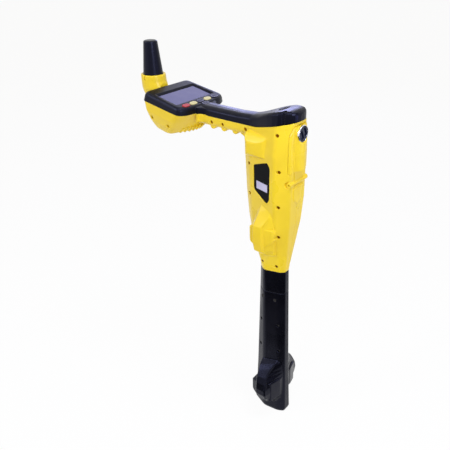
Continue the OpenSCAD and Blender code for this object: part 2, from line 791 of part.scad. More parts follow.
// Spigot outline: the tube's plan at the mast, drawn in, and pushed past the parting plane
function half_ring_low(z, d) = [for (p = half_plan(tube_rows, mast_z, d)) [p[0], p[1] < 0.01 ? -1 : p[1], z]];

module left_body_shell() {
  color(yellow)
    difference() {
      body_half(1);
      screw_holes(concat(shell_screw_places, handle_screw_places), 1);
      label_prism(clear, -far / 20, label_sink);
    }
}

module right_body_shell() {
  color(yellow)
    difference() {
      mirror([0, 1, 0])
        body_half(-1);
      screw_holes(concat(shell_screw_places, handle_screw_places), -1);
    }
}

module label_plate() {
  color("#15151A")
    label_prism(0, label_sink - label_t, label_sink);
}

// Black cover: bezel, handle top and loudspeaker hump
function cover_half_w(x) =
  let (bulb = hump_w / 2, grip = handle_w / 2, mid = crease_x)
  x < mid ?
    let (t = (mid - x) / (mid - rear_x + 0.3)) mix(bulb, bulb * 0.62, t) * sqrt(max(0.02, 1 - pow(t, 8)))
  : x < handle_x0 + 6 ? let (t = (x - mid) / (handle_x0 + 6 - mid)) mix(bulb, grip, t * t * (3 - 2 * t))
  : grip;
function cover_top(x) =
  let (low = seam_z + handle_rise, high = seam_z + hump_rise, x0 = rear_x + 12, x1 = handle_x0 + 16)
  x < x0 ? high - pow((x0 - x) / (x0 - rear_x), 3) * 5
  : x < x1 ? let (t = (x - x0) / (x1 - x0)) mix(high, low, t * t * (3 - 2 * t))
  : low;

function cover_ring(x, lift = 0) =
  let (
    w = cover_half_w(x), low = seam_at(x) + lift, high = cover_top(x),
    crisp = max(0, min(1, (handle_x0 - 14 - x) / 24)), r = min(mix(8, 3, crisp), w * 0.45),
    half = rounded_open(
      [[w, low], [w, high - mix(5, 3.6, crisp)], [w * mix(0.62, 0.86, crisp), high], [0, high + 0.6]],
      [r, r * 0.7]
    )
  )
  concat(
    [for (p = half) [x, p[0], p[1]]],
    [for (i = [len(half) - 2 : -1 : 0]) [x, -half[i][0], half[i][1]]]
  );

function head_ring(n, d) = [for (p = whole(head_plan(d))) on_panel(p[0], p[1], n)];
seam_gap = 0.03;
function head_seam_ring() = [for (p = head_ring(-bezel_h, 0)) [p[0], p[1], seam_at(p[0]) + seam_gap]];

// Places on the panel
key_u = -34.7;
menu_key_u = -46.8;
window_u = 1.6;
board_u1 = 43;
mat_half = 2 * key_pitch + key_l / 2 + 2;
board_margin = 2.4;
board_half = mat_half + board_margin;
mat_u0 = key_u - key_w / 2 - 1.6;
mat_u1 = key_u + key_w / 2 + 1.6;
tongue_half_v = key_l / 2 + 2;
tongue_u0 = menu_key_u - key_w / 2 - 1.6;
key_flange_t = 1;
mat_t = 1;
key_flange_n1 = -panel_t - 0.1;
mat_n1 = key_flange_n1 - key_flange_t - key_travel - clear;
board_n1 = mat_n1 - mat_t;
window_sink = 2.8;
window_slope_u = 4.4;
window_slope_v = 4;
window_lip = 2;
lcd_l = window_l - 2 * (window_lip + clear);
lcd_w = window_w - 2 * (window_lip + clear);
lcd_n1 = -window_t - window_sink - clear;
post_places = [[board_u1 - 4, board_half - 3.5], [mat_u1 + 2.6, board_half - 2.6]];
post_d = 5;

module panel_box(u0, u1, v, n0, n1) {
  translate([u0, -v, n0])
    cube([u1 - u0, 2 * v, n1 - n0]);
}

// Sloped recess round the window, from the window's outline up past the panel
module window_recess() {
  half_l = window_l / 2 + clear;
  half_w = window_w / 2 + clear;
  over = 0.5;
  grow = 1 + over / window_sink;
  function ring(n, e) =
    let (u = half_l + window_slope_u * e, v = half_w + window_slope_v * e, r = 2)
    [for (p = rounded([[u, v], [-u, v], [-u, -v], [u, -v]], r)) [window_u + p[0], p[1], n]];
  loft([ring(-window_sink, 0), ring(over, grow)]);
}

// Flat plate with the board's outline
module board_shape(grow, n0, n1) {
  panel_box(mat_u0 - grow, board_u1 + grow, board_half + grow, n0, n1);
  panel_box(tongue_u0 - grow, mat_u0 + 1, tongue_half_v + grow, n0, n1);
}

module pill(l, w, h) {
  translate([0, -(l - w) / 2, 0])
    cylinder(d = w, h = h);
  translate([0, (l - w) / 2, 0])
    cylinder(d = w, h = h);
  translate([-w / 2, -(l - w) / 2, 0])
    cube([w, l - w, h]);
}

key_places = [
  [key_u, 2 * key_pitch], [key_u, key_pitch], [key_u, 0], [key_u, -key_pitch], [key_u, -2 * key_pitch],
  [menu_key_u, 0]
];

speaker_x = -8;
speaker_z1 = seam_z + hump_rise - 10;
speaker_t = 8;
slot_pitch = 3;
slot_w = 1.4;
slot_field = [17, 27];
socket_place = [-22.5, 19.5];
socket_hole_d = 3.6;
socket_d = 6;
dimple_places = [handle_x0 - 19, handle_x0 - 32];
groove_x = socket_place[0] - 2;
groove_r = 4;
groove_sink = 1.6;

module top_cover() {
  color(black)
    difference() {
      union() {
        loft(concat([for (x = cover_stations) cover_ring(x)], [cover_ring(handle_x1 + 15, 5)]));
        intersection() {
          for (side = [0, 1])
            mirror([0, side, 0])
              flare_half();
          above_seam();
          at_panel()
            translate([-far, -far, -far])
              cube([2 * far, 2 * far, far - 1.5]);
        }
        loft([
          head_seam_ring(), head_ring(-5, 1.5), head_ring(-1.8, 2.8), head_ring(-0.6, 3.9), head_ring(0, 5.5)
        ]);
      }
      at_panel() {
        // Window seat, display opening and the room for the board
        panel_box(window_u - window_l / 2 - clear, window_u + window_l / 2 + clear, window_w / 2 + clear,
                  -window_t - window_sink, 0.1 - window_sink);
        window_recess();
        panel_box(window_u - lcd_l / 2 - clear, window_u + lcd_l / 2 + clear, lcd_w / 2 + clear,
                  -far / 10, 1);
        difference() {
          board_shape(clear, -bezel_h - 5, -panel_t);
          for (p = post_places)
            for (s = [-1, 1])
              translate([p[0], s * p[1], board_n1])
                cylinder(d = post_d, h = far);
        }
        for (p = key_places)
          translate([p[0], p[1], -panel_t - 1])
            pill(key_l + 2 * clear, key_w + 2 * clear, far);
        for (p = post_places)
          for (s = [-1, 1])
            translate([p[0], s * p[1], board_n1 - 1])
              cylinder(d = 2 + 2 * run_clear, h = 1 + 2.8);
      }
      // Loudspeaker seat and slots
      translate([speaker_x, 0, seam_z - 5])
        cylinder(d = speaker_d + 2 * clear, h = speaker_z1 - seam_z + 5);
      intersection() {
        translate([speaker_x, 0, speaker_z1 - 1])
          scale([slot_field[0], slot_field[1], far])
            cylinder(d = 1, h = 1);
        for (i = [0 : speaker_slots - 1])
          translate([speaker_x + (i - (speaker_slots - 1) / 2) * slot_pitch, 0, speaker_z1 - 2])
            rotate([0, 0, 24])
              translate([-slot_w / 2, -speaker_d / 2, 0])
                cube([slot_w, speaker_d, far]);
      }
      for (x = dimple_places)
        translate([x, 0, cover_top(x) - 0.6])
          cylinder(d = 2.6, h = far);
      // Headset socket in its notch, over a finger groove in the cover's side
      translate([socket_place[0], socket_place[1], seam_z + hump_rise - 12])
        cylinder(d = socket_d + 2 * clear, h = far);
      translate([groove_x, cover_half_w(groove_x) + groove_r - groove_sink, seam_z])
        cylinder(r = groove_r, h = far);
    }
}

module display_window() {
  color("#8480B0")
    at_panel()
      panel_box(window_u - window_l / 2, window_u + window_l / 2, window_w / 2,
                -window_t - window_sink, -window_sink);
}

module lcd_module() {
  color("#A9A8C4")
    at_panel()
      panel_box(window_u - lcd_l / 2, window_u + lcd_l / 2, lcd_w / 2, board_n1, lcd_n1);
}

module main_board() {
  color("#1F6B3A")
    at_panel()
      difference() {
        board_shape(0, board_n1 - board_t, board_n1);
        for (p = post_places)
          for (s = [-1, 1])
            translate([p[0], s * p[1], board_n1 - board_t - 1])
              cylinder(d = 2.4, h = board_t + 2);
      }
}

module board_screws() {
  color("silver")
    at_panel()
      for (p = post_places)
        for (s = [-1, 1])
          translate([p[0], s * p[1], board_n1 - board_t])
            rotate([180, 0, 0]) {
              cylinder(d = 4, h = 1.4);
              translate([0, 0, -board_t - 2.4])
                cylinder(d = 2, h = board_t + 2.4);
            }
}

module keypad_mat() {
  color("#3A3A44")
    at_panel() {
      panel_box(mat_u0, mat_u1, mat_half, board_n1, mat_n1);
      panel_box(tongue_u0, mat_u0 + 1, tongue_half_v, board_n1, mat_n1);
    }
}

// One key: a cap through the panel on a flange that can't come out
module key(place) {
  rim = 0.8;
  chamfer = 0.3;
  base_n = key_flange_n1 - key_flange_t / 2;
  at_panel()
    translate([place[0], place[1], 0]) {
      translate([0, 0, key_flange_n1 - key_flange_t])
        pill(key_l + 2 * rim, key_w + 2 * rim, key_flange_t);
      translate([0, 0, base_n])
        pill(key_l, key_w, key_up - chamfer - base_n);
      translate([0, 0, key_up - chamfer])
        pill(key_l - 3 * chamfer, key_w - 3 * chamfer, chamfer);
    }
}

module power_key() {
  color("#C0202A")
    key(key_places[0]);
}
module select_key() {
  color("#F0E080")
    key(key_places[1]);
}
module left_key() {
  color("#2A2A34")
    key(key_places[2]);
}
module gain_key() {
  color("#F0E080")
    key(key_places[3]);
}
module right_key() {
  color("#2A2A34")
    key(key_places[4]);
}
module menu_key() {
  color("#2A2A34")
    key(key_places[5]);
}

module loudspeaker() {
  color("#2B2B30")
    translate([speaker_x, 0, speaker_z1 - speaker_t])
      difference() {
        union() {
          translate([0, 0, speaker_t - 3])
            cylinder(d = speaker_d, h = 3);
          cylinder(d = speaker_d * 0.55, h = speaker_t - 2);
        }
        translate([0, 0, speaker_t - 1.5])
          cylinder(d1 = speaker_d * 0.3, d2 = speaker_d * 0.8, h = 1.6);
      }
}

module headset_socket() {
  color("#0E0E12")
    translate([socket_place[0], socket_place[1], seam_z + hump_rise - 12])
      difference() {
        cylinder(d = socket_d, h = 6);
        translate([0, 0, 1.5])
          cylinder(d = socket_hole_d, h = 6);
      }
}

// Antenna at the front of the head
module antenna_radome() {
  color(black)
    translate([antenna_x, 0, collar_top_z])
      difference() {
        union() {
          translate([0, 0, -socket_depth])
            cylinder(d = radome_d, h = socket_depth + 1);
          cylinder(d1 = radome_d, d2 = radome_top_d, h = radome_h - 2);
          translate([0, 0, radome_h - 2])
            cylinder(d1 = radome_top_d, d2 = radome_top_d - 3, h = 1.4);
          translate([0, 0, radome_h - 0.6])
            cylinder(d1 = radome_top_d - 3, d2 = radome_top_d - 9, h = 0.6);
        }
        translate([0, 0, -socket_depth - 1])
          cylinder(d = element_d + 2 * clear, h = socket_depth + radome_h - 8);
      }
}

element_d = 14;
module radio_antenna() {
  color("#D9CFA8")
    translate([antenna_x, 0, collar_top_z - socket_depth]) {
      cylinder(d = element_d, h = 8);
      cylinder(d = element_d - 5, h = socket_depth + radome_h - 12);
      for (i = [0 : 4])
        translate([0, 0, 14 + i * 8])
          cylinder(d = element_d, h = 3);
    }
}

// Battery door, hinge and lock
module battery_door() {
  boss_x = -mast_back - 5;
  color(yellow)
    difference() {
      union() {
        intersection() {
          translate([-door_proud, 0, 0]) {
            mast_half();
            mirror([0, 1, 0])
              mast_half();
          }
          door_prism(0, -mast_back - 10, door_in_x);
        }
        // Half-round bulge with a sloped top, and the boss round the lock
        intersection() {
          translate([bulge_x, 0, door_z0 + 3])
            cylinder(r = door_bulge_r, h = seam_z - door_z0 - 3);
          translate([-far, -far, 0])
            cube([far + door_in_x, 2 * far, far + seam_z]);
        }
        translate([door_in_x, 0, lock_z])
          rotate([0, -90, 0])
            cylinder(d1 = ring_d + 3, d2 = ring_d + 1, h = door_in_x - boss_x);
        // Leaf and knuckle of the hinge
        translate([hinge_x - 2.5, -knuckle_half, hinge_z])
          cube([4, door_knuckle_l, door_z0 - hinge_z + 2]);
        translate([hinge_x, 0, hinge_z])
          rotate([90, 0, 0])
            cylinder(d = knuckle_d, h = door_knuckle_l, center = true);
      }
      // Room for the round back of the battery pack
      translate([bulge_x, 0, pack_z0 - pack_room])
        cylinder(r = pack_r + pack_room, h = pack_z1 - pack_z0 + 2 * pack_room);
      translate([hinge_x, 0, hinge_z])
        rotate([90, 0, 0])
          cylinder(d = pin_d + 2 * run_clear, h = door_knuckle_l + 2, center = true);
      // Lock shaft bore and the ring's seat
      translate([door_in_x + 1, 0, lock_z])
        rotate([0, -90, 0])
          cylinder(d = lock_shaft_d + 2 * run_clear, h = far);
      translate([boss_x + ring_seat, 0, lock_z])
        rotate([0, -90, 0])
          cylinder(d = ring_d + 2 * run_clear, h = far);
      translate([-far, -far, door_z1])
        cube([2 * far, 2 * far, far]);
    }
}

ring_seat = 2;
ring_out = 2.6;
lock_face_x = -mast_back - 5;

module lock_ring() {
  color("#E8E8EE")
    translate([lock_face_x + ring_seat, 0, lock_z])
      rotate([0, -90, 0])
        difference() {
          union() {
            cylinder(d = ring_d, h = ring_seat + ring_out - 1);
            translate([0, 0, ring_seat + ring_out - 1])
              cylinder(d1 = ring_d, d2 = ring_d - 1.6, h = 1);
          }
          translate([0, 0, -1])
            cylinder(d = knob_d + 0.8, h = far);
        }
}

knob_t = 4;
bar_turn = 25;
module lock_knob() {
  color("#14141E")
    translate([lock_face_x + ring_seat - clear, 0, lock_z])
      rotate([0, -90, 0]) {
        difference() {
          union() {
            cylinder(d = knob_d, h = knob_t - 0.8);
            translate([0, 0, knob_t - 0.8])
              cylinder(d1 = knob_d, d2 = knob_d - 1.6, h = 0.8);
          }
          // Two scoops that leave a grip bar across the knob
          rotate([0, 0, bar_turn])
            for (s = [-1, 1])
              translate([-knob_d * 0.3, s * 1.3 - (s < 0 ? knob_d * 0.28 : 0), knob_t - 2])
                cube([knob_d * 0.6, knob_d * 0.28, 3]);
        }
        translate([0, 0, -(door_in_x - lock_face_x - ring_seat + clear) - cam_t - gap])
          cylinder(d = lock_shaft_d, h = door_in_x - lock_face_x - ring_seat + clear + cam_t + gap + 0.5);
      }
}

module lock_cam() {
  color("#B8BCC2")
    translate([door_in_x + gap, 0, lock_z])
      rotate([0, 90, 0])
        difference() {
          union() {
            cylinder(d = cam_hub_d, h = cam_t);
            translate([-cam_half_w, 0, 0])
              cube([2 * cam_half_w, cam_tip, cam_t]);
          }
          translate([0, 0, -1])
            cylinder(d = lock_shaft_d + 2 * run_clear, h = cam_t + 2);
        }
}

module door_hinge_pin() {
  color("#B8BCC2")
    translate([hinge_x, 0, hinge_z])
      rotate([90, 0, 0])
        cylinder(d = pin_d, h = hinge_l - 8, center = true);
}

// Seal let into the frame of the bay
module door_seal() {
  color("#202024")
    seal_frame(0, door_in_x + seal_lift, door_in_x + seal_lift + seal_t);
}

module battery_pack() {
  color("#3B3F4A") {
    translate([door_in_x + 1.5, -pack_half, pack_z0])
      cube([pack_x1 - door_in_x - 1.5, 2 * pack_half, pack_z1 - pack_z0]);
    intersection() {
      translate([bulge_x, 0, pack_z0])
        cylinder(r = pack_r, h = pack_z1 - pack_z0);
      translate([-far, -far, 0])
        cube([far + door_in_x + 2, 2 * far, 4 * far]);
    }
  }
}

module battery_contacts() {
  color("#D8B24A")
    for (s = [-1, 1])
      translate([pack_x1, s * 12 - 4, mix(pack_z0, pack_z1, 0.5) - 6])
        cube([contact_t, 8, 12]);
}

// Sleeve between mast and foot, with a spigot at each end
lead_x = 7;
module sleeve() {
  function ring(z) = [for (p = whole(half_plan(tube_rows, z))) [p[0], p[1], z]];
  color(black)
    difference() {
      union() {
        loft([ring(foot_h), ring(mast_z)]);
        translate([0, 0, foot_h - spigot_h])
          linear_extrude(sleeve_h + 2 * spigot_h)
            polygon(whole(half_plan(tube_rows, mast_z, spigot_wall)));
      }
      translate([lead_x, 0, foot_h - spigot_h - 1])
        cylinder(d = sleeve_bore_d, h = sleeve_h + 2 * spigot_h + 2);
      for (p = [shell_screw_places[0], shell_screw_places[1], foot_screw_places[0], foot_screw_places[3]])
        translate([p[0], 0, p[1]])
          rotate([90, 0, 0])
            cylinder(d = screw_d + 2 * clear, h = 2 * far, center = true);
    }
}

module foot_half() {
  difference() {
    union() {
      loft([for (z = [tube_rows[0][0], tube_rows[1][0], tube_rows[2][0], foot_h]) half_ring(tube_rows, z)]);
      foot_bulge_half();
    }
    translate([-far, -far, -far])
      cube([2 * far, far, 4 * far]);
    loft([for (z = [foot_h - spigot_h - clear, foot_h + 1]) half_ring_low(z, spigot_wall - clear)]);
    coil_tunnel(lower_coil_x, lower_coil_z, lower_coil_l / 2);
    loft([for (z = [-1, pad_t]) pad_ring_low(z, clear)]);
  }
}

pad_inset = 6;
function pad_ring_low(z, g) = [
  for (p = half_plan(tube_rows, pad_t, pad_inset - g)) [p[0], p[1] < 0.01 ? -1 : p[1], z]
];

module left_foot_shell() {
  color(black)
    difference() {
      foot_half();
      screw_holes(foot_screw_places, 1);
    }
}

module right_foot_shell() {
  color(black)
    difference() {
      mirror([0, 1, 0])
        foot_half();
      screw_holes(foot_screw_places, -1);
    }
}

module sole_pad() {
  color("#17171A")
    linear_extrude(pad_t)
      polygon(whole(half_plan(tube_rows, pad_t, pad_inset)));
}

// Ferrite rod in its wound bobbin, across the object
module antenna_rod(x, z, l) {
  color("#4A4A50")
    translate([x, 0, z])
      rotate([90, 0, 0])
        cylinder(d = rod_d, h = l, center = true);
}

module antenna_coil(x, z, l) {
  flange = 3;
  color("#B5652A")
    translate([x, 0, z])
      rotate([90, 0, 0])
        difference() {
          union() {
            cylinder(d = bobbin_d - 3, h = l - 1, center = true);
            for (i = [-2 : 2])
              translate([0, 0, i * (l - flange) / 4])
                cylinder(d = bobbin_d, h = flange, center = true);
          }
          cylinder(d = rod_d + 2 * run_clear, h = l + 2, center = true);
        }
}

module upper_antenna_rod() {
  antenna_rod(upper_coil_x, upper_coil_z, upper_coil_l);
}
module upper_antenna_coil() {
  antenna_coil(upper_coil_x, upper_coil_z, upper_coil_l);
}
module middle_antenna_rod() {
  antenna_rod(coil_x, middle_coil_z, lower_coil_l);
}
module middle_antenna_coil() {
  antenna_coil(coil_x, middle_coil_z, lower_coil_l);
}
module lower_antenna_rod() {
  antenna_rod(lower_coil_x, lower_coil_z, lower_coil_l);
}
module lower_antenna_coil() {
  antenna_coil(lower_coil_x, lower_coil_z, lower_coil_l);
}

module shell_screws() {
  color("#55555C")
    screws(shell_screw_places);
}
module handle_screws() {
  color("#55555C")
    screws(handle_screw_places);
}
module foot_screws() {
  color("#55555C")
    screws(foot_screw_places);
}

left_body_shell();
right_body_shell();
top_cover();
display_window();
lcd_module();
main_board();
board_screws();
keypad_mat();
power_key();
select_key();
gain_key();
left_key();
right_key();
menu_key();
loudspeaker();
headset_socket();
antenna_radome();
radio_antenna();
label_plate();
battery_door();
door_hinge_pin();
door_seal();
lock_ring();
lock_knob();
lock_cam();
battery_pack();
battery_contacts();
sleeve();
left_foot_shell();
right_foot_shell();
sole_pad();
upper_antenna_rod();
upper_antenna_coil();
middle_antenna_rod();
middle_antenna_coil();
lower_antenna_rod();
lower_antenna_coil();
shell_screws();
handle_screws();
foot_screws();
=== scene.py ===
# Looks of a hand-held cable locator: soft-edged mouldings, finishes, studio light and camera.
import json
import math

import bmesh
import bpy
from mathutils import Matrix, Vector


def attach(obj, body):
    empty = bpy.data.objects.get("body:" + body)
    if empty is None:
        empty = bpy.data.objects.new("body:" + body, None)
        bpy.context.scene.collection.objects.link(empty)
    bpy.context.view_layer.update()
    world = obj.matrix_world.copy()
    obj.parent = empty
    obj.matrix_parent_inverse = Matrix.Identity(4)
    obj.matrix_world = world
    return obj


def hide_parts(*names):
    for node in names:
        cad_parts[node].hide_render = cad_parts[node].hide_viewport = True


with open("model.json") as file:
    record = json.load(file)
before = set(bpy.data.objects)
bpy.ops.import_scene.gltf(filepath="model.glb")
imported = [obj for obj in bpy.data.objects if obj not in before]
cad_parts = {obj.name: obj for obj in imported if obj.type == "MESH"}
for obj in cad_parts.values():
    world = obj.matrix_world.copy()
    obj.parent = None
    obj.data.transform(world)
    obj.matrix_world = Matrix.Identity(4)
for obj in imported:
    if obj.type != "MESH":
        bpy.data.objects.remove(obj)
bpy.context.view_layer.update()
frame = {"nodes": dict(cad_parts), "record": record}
scene = bpy.context.scene

MM = 0.001

# Tones of the mouldings: plain, second tone of the blotches, rubbed edges, and an orange-brown painted shade
# for inner corners
YELLOW = (0.83, 0.605, 0.020)
YELLOW_DEEP = (0.80, 0.565, 0.016)
YELLOW_RUBBED = (0.92, 0.78, 0.16)
YELLOW_PAINTED_SHADE = (0.62, 0.30, 0.006)
BLACK = (0.0022, 0.0022, 0.0036)
BLACK_PALE = (0.0032, 0.0032, 0.0054)
BLACK_RUBBED = (0.040, 0.040, 0.064)
SCREEN_LAVENDER = (0.105, 0.100, 0.275)
SCREEN_LAVENDER_DEEP = (0.092, 0.088, 0.250)
DUST_TONE = (0.62, 0.58, 0.50)

# Tints of the gloss: none, and the lavender that the black mouldings show
PLAIN_GLOSS = (1.0, 1.0, 1.0)
LAVENDER_GLOSS = (0.52, 0.55, 1.0)

# How far a finish varies: glossier and duller spots, painted shade in corners, height of grain and of
# scratches
GLOSSY_SPOT = 0.04
DULL_SPOT = 0.05
CORNER_SHADE_AMOUNT = 0.7
GRAIN_HEIGHT = 0.2 * MM
SCRATCH_HEIGHT = 0.1 * MM


def link(tree, source, target):
    tree.links.new(source, target)


# Shader groups shared by several finishes
def shader_group(name, inputs, outputs):
    tree = bpy.data.node_groups.new(name, "ShaderNodeTree")
    for label, value in inputs:
        socket = tree.interface.new_socket(label, in_out="INPUT", socket_type="NodeSocketFloat")
        socket.default_value = value
    for label in outputs:
        tree.interface.new_socket(label, in_out="OUTPUT", socket_type="NodeSocketFloat")
    return tree, tree.nodes.new("NodeGroupInput"), tree.nodes.new("NodeGroupOutput")


def noise(tree, coordinates, scale, detail):
    node = tree.nodes.new("ShaderNodeTexNoise")
    node.inputs["Detail"].default_value = detail
    link(tree, coordinates, node.inputs["Vector"])
    if isinstance(scale, (int, float)):
        node.inputs["Scale"].default_value = scale
    else:
        link(tree, scale, node.inputs["Scale"])
    return node.outputs["Fac"]


def remap(tree, value, low, high, to_low=0.0, to_high=1.0):
    node = tree.nodes.new("ShaderNodeMapRange")
    node.interpolation_type = "SMOOTHSTEP"
    for label, number in (("From Min", low), ("From Max", high), ("To Min", to_low), ("To Max", to_high)):
        node.inputs[label].default_value = number
    link(tree, value, node.inputs["Value"])
    return node.outputs["Result"]


def math_node(tree, operation, a, b):
    node = tree.nodes.new("ShaderNodeMath")
    node.operation = operation
    for socket, value in zip(node.inputs, (a, b)):
        if isinstance(value, (int, float)):
            socket.default_value = value
        else:
            link(tree, value, socket)
    return node.outputs["Value"]


def make_grain_group():
    """Spark-eroded mould grain: a fine height, and slow blotches for colour and gloss."""
    tree, source, result = shader_group(
        "mould_grain", [("Grain per Metre", 2200.0), ("Blotch per Metre", 14.0)], ["Height", "Blotch"]
    )
    place = tree.nodes.new("ShaderNodeTexCoord").outputs["Object"]
    fine = noise(tree, place, source.outputs["Grain per Metre"], detail=3.0)
    broad = noise(tree, place, source.outputs["Blotch per Metre"], detail=4.0)
    link(tree, fine, result.inputs["Height"])
    link(tree, remap(tree, broad, low=0.35, high=0.65), result.inputs["Blotch"])
    return tree


def make_edge_group():
    """Mask of rubbed outer edges, broken up by noise."""
    tree, source, result = shader_group("rubbed_edges", [("Amount", 1.0)], ["Mask"])
    place = tree.nodes.new("ShaderNodeTexCoord").outputs["Object"]
    sharp = tree.nodes.new("ShaderNodeNewGeometry").outputs["Pointiness"]
    edge = remap(tree, sharp, low=0.52, high=0.60)
    broken = remap(tree, noise(tree, place, scale=160.0, detail=4.0), low=0.42, high=0.68, to_low=0.15)
    mask = math_node(tree, "MULTIPLY", math_node(tree, "MULTIPLY", edge, broken), source.outputs["Amount"])
    link(tree, mask, result.inputs["Mask"])
    return tree


def make_dust_group():
    """Thin dust on faces that look up."""
    tree, source, result = shader_group("settled_dust", [("Amount", 0.3)], ["Mask"])
    place = tree.nodes.new("ShaderNodeTexCoord").outputs["Object"]
    shape = tree.nodes.new("ShaderNodeNewGeometry")
    normal = tree.nodes.new("ShaderNodeSeparateXYZ")
    link(tree, shape.outputs["Normal"], normal.inputs["Vector"])
    upward = remap(tree, normal.outputs["Z"], low=0.2, high=0.95)
    patchy = remap(tree, noise(tree, place, scale=60.0, detail=6.0), low=0.35, high=0.75)
    mask = math_node(tree, "MULTIPLY", math_node(tree, "MULTIPLY", upward, patchy), source.outputs["Amount"])
    link(tree, mask, result.inputs["Mask"])
    return tree


def make_corner_shade_group():
    """Mask of inner corners, where shade is painted into the colour."""
    tree, source, result = shader_group("corner_painted_shade", [("Amount", 0.5)], ["Mask"])
    shape = tree.nodes.new("ShaderNodeNewGeometry").outputs["Pointiness"]
    corner = remap(tree, shape, low=0.42, high=0.495, to_low=1.0, to_high=0.0)
    link(tree, math_node(tree, "MULTIPLY", corner, source.outputs["Amount"]), result.inputs["Mask"])
    return tree


GRAIN = make_grain_group()
EDGES = make_edge_group()
DUST = make_dust_group()
PAINTED_CORNER_SHADE = make_corner_shade_group()


def use_group(tree, group, **values):
    node = tree.nodes.new("ShaderNodeGroup")
    node.node_tree = group
    for label, value in values.items():
        node.inputs[label].default_value = value
    return node


def mix_colour(tree, mask, first, second):
    node = tree.nodes.new("ShaderNodeMix")
    node.data_type = "RGBA"
    link(tree, mask, node.inputs["Factor"])
    for socket, colour in ((node.inputs["A"], first), (node.inputs["B"], second)):
        if isinstance(colour, tuple):
            socket.default_value = (*colour, 1.0)
        else:
            link(tree, colour, socket)
    return node.outputs["Result"]


def new_material(name):
    made = bpy.data.materials.new(name)
    made.use_nodes = True
    return made, made.node_tree, made.node_tree.nodes["Principled BSDF"]


def add_bump(tree, shader, height, strength, distance):
    bump = tree.nodes.new("ShaderNodeBump")
    bump.inputs["Strength"].default_value = strength
    bump.inputs["Distance"].default_value = distance
    link(tree, height, bump.inputs["Height"])
    link(tree, bump.outputs["Normal"], shader.inputs["Normal"])


def plastic(name, colour, second, rubbed, roughness, grain=2200.0, depth=0.12, specular=0.4,
            wear=0.5, dust=0.12, tint=PLAIN_GLOSS, corners=None):
    """Moulded plastic with grain, two tones in slow blotches, rubbed edges, a trace of dust, and painted
    shade in inner corners when a corner colour is given.
    """
    made, tree, shader = new_material(name)
    texture = use_group(tree, GRAIN, **{"Grain per Metre": grain})
    edge = use_group(tree, EDGES, Amount=wear)
    settled = use_group(tree, DUST, Amount=dust)
    body = mix_colour(tree, texture.outputs["Blotch"], colour, second)
    if corners:
        # Inner corners darkened towards the corner colour: painted shade, standing in for the shade and warm
        # bounce light of the hollows.
        body = mix_colour(tree, use_group(tree, PAINTED_CORNER_SHADE, Amount=CORNER_SHADE_AMOUNT).outputs["Mask"], body, corners)
    worn = mix_colour(tree, edge.outputs["Mask"], body, rubbed)
    dusty = mix_colour(tree, settled.outputs["Mask"], worn, DUST_TONE)
    link(tree, dusty, shader.inputs["Base Color"])
    gloss = remap(tree, texture.outputs["Blotch"], 0.0, 1.0, roughness - GLOSSY_SPOT, roughness + DULL_SPOT)
    link(tree, math_node(tree, "ADD", gloss, settled.outputs["Mask"]), shader.inputs["Roughness"])
    shader.inputs["Specular IOR Level"].default_value = specular
    shader.inputs["Specular Tint"].default_value = (*tint, 1.0)
    add_bump(tree, shader, texture.outputs["Height"], depth, GRAIN_HEIGHT)
    return made


def metal(name, colour, second, roughness, streak=900.0, depth=0.08):
    """Bare or plated metal with fine scratches and slightly uneven gloss."""
    made, tree, shader = new_material(name)
    texture = use_group(tree, GRAIN, **{"Grain per Metre": streak, "Blotch per Metre": 70.0})
    link(tree, mix_colour(tree, texture.outputs["Blotch"], colour, second), shader.inputs["Base Color"])
    gloss = remap(tree, texture.outputs["Height"], 0.3, 0.7, roughness * 0.7, roughness * 1.4)
    link(tree, gloss, shader.inputs["Roughness"])
    shader.inputs["Metallic"].default_value = 1.0
    add_bump(tree, shader, texture.outputs["Height"], depth, SCRATCH_HEIGHT)
    return made


